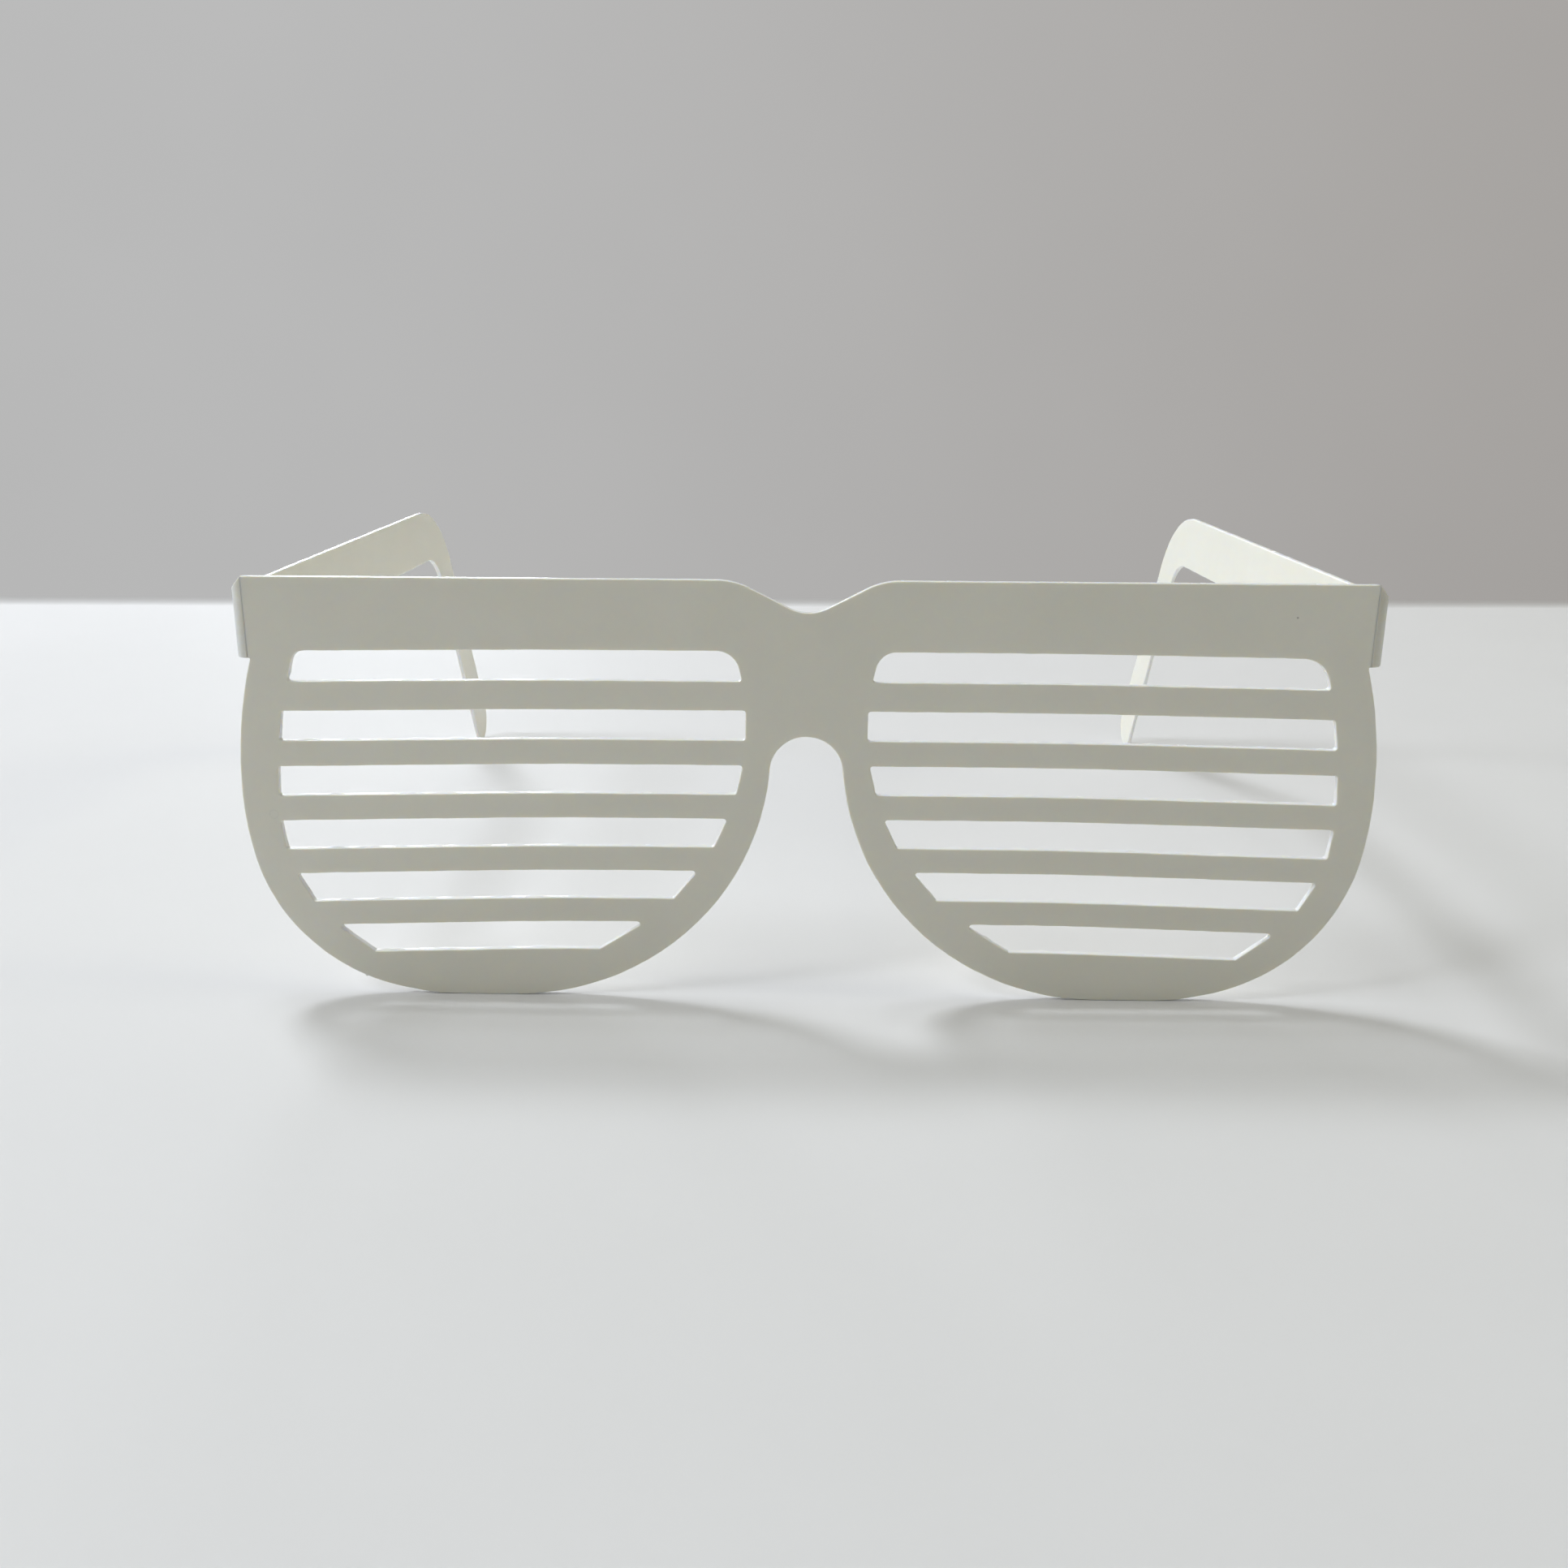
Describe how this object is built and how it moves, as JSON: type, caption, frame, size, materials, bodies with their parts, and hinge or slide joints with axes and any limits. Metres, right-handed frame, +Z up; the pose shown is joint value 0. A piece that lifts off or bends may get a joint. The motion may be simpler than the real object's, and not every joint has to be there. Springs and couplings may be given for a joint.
{
  "type": "slatted novelty glasses",
  "caption": "Flat lensless party glasses with horizontal slats over each eye, a straight brow band, a nose arch and thin hooked temples on folded plastic hinges.",
  "frame": {"origin": "on the table, midway across the front and midway from the front face to the temple tips", "axes": "+X to the wearer's left, -Y the way the wearer looks, +Z up"},
  "size_m": [0.1562, 0.148, 0.06],
  "materials": {
    "white_plastic": "smooth satin moulded sheet, warm white, with soft edges",
    "fold_plastic": "the same plastic thinned at the fold, a little paler where it was bent"
  },
  "bodies": {
    "front": {"front_frame": "white_plastic", "left_hinge_web": "fold_plastic", "right_hinge_web": "fold_plastic"},
    "left_temple": {"left_temple": "white_plastic"},
    "right_temple": {"right_temple": "white_plastic"}
  },
  "joints": [
    {"name": "left_fold", "type": "hinge", "parent": "front", "child": "left_temple", "pos_m": [0.07585, -0.07265, 0.05355], "axis": [0, 0, 1], "range_deg": [-90, 87], "stiffness_Nm_per_rad": 0.002, "deforming": ["left_hinge_web"]},
    {"name": "right_fold", "type": "hinge", "parent": "front", "child": "right_temple", "pos_m": [-0.07585, -0.07265, 0.05355], "axis": [0, 0, -1], "range_deg": [-90, 90], "stiffness_Nm_per_rad": 0.002, "deforming": ["right_hinge_web"]}
  ]
}
